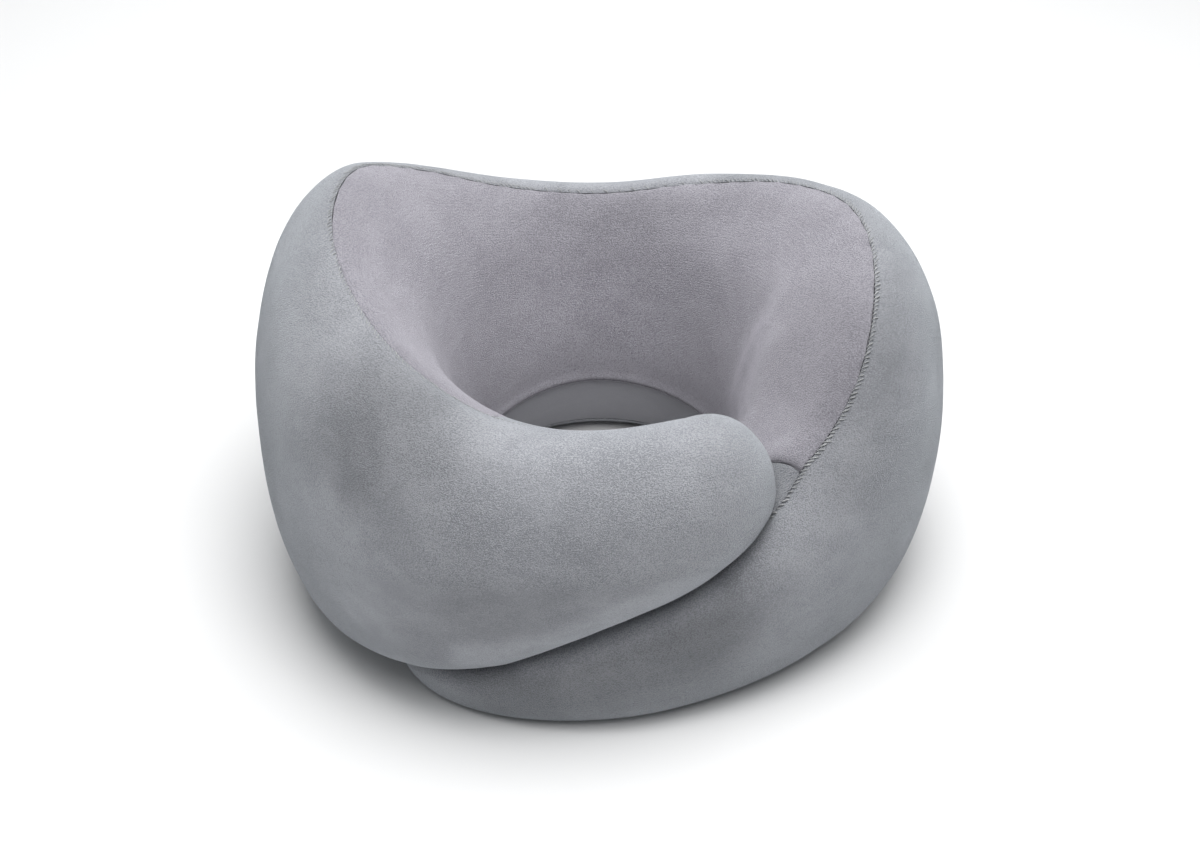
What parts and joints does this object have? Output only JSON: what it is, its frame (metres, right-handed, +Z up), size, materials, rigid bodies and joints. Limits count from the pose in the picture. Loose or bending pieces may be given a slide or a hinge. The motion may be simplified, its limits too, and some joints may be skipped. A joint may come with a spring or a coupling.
{
  "type": "foldable neck pillow",
  "caption": "Wrap-round neck pillow of moulded foam in short plush, with a tall back and raised sides, its arms lapped at the front, lying on its base.",
  "frame": {"origin": "on the floor, under the middle of the pillow's bounding box", "axes": "+Z up, -Y towards the lapped arms at the front, +Y towards the tall back, +X towards the right arm's side"},
  "size_m": [0.2664, 0.2406, 0.1496],
  "materials": {
    "plush": "short cut plush, cool pale grey, with brushed nap patches",
    "neck_plush": "short cut plush, slightly mauve grey, with faint knit rows",
    "band_knit": "smooth fine knit, darker grey"
  },
  "bodies": {
    "root": {"cushion": "plush", "neck_panel": "neck_plush", "right_end_panel": "plush", "left_end_panel": "plush", "hem_band": "band_knit"}
  },
  "joints": []
}
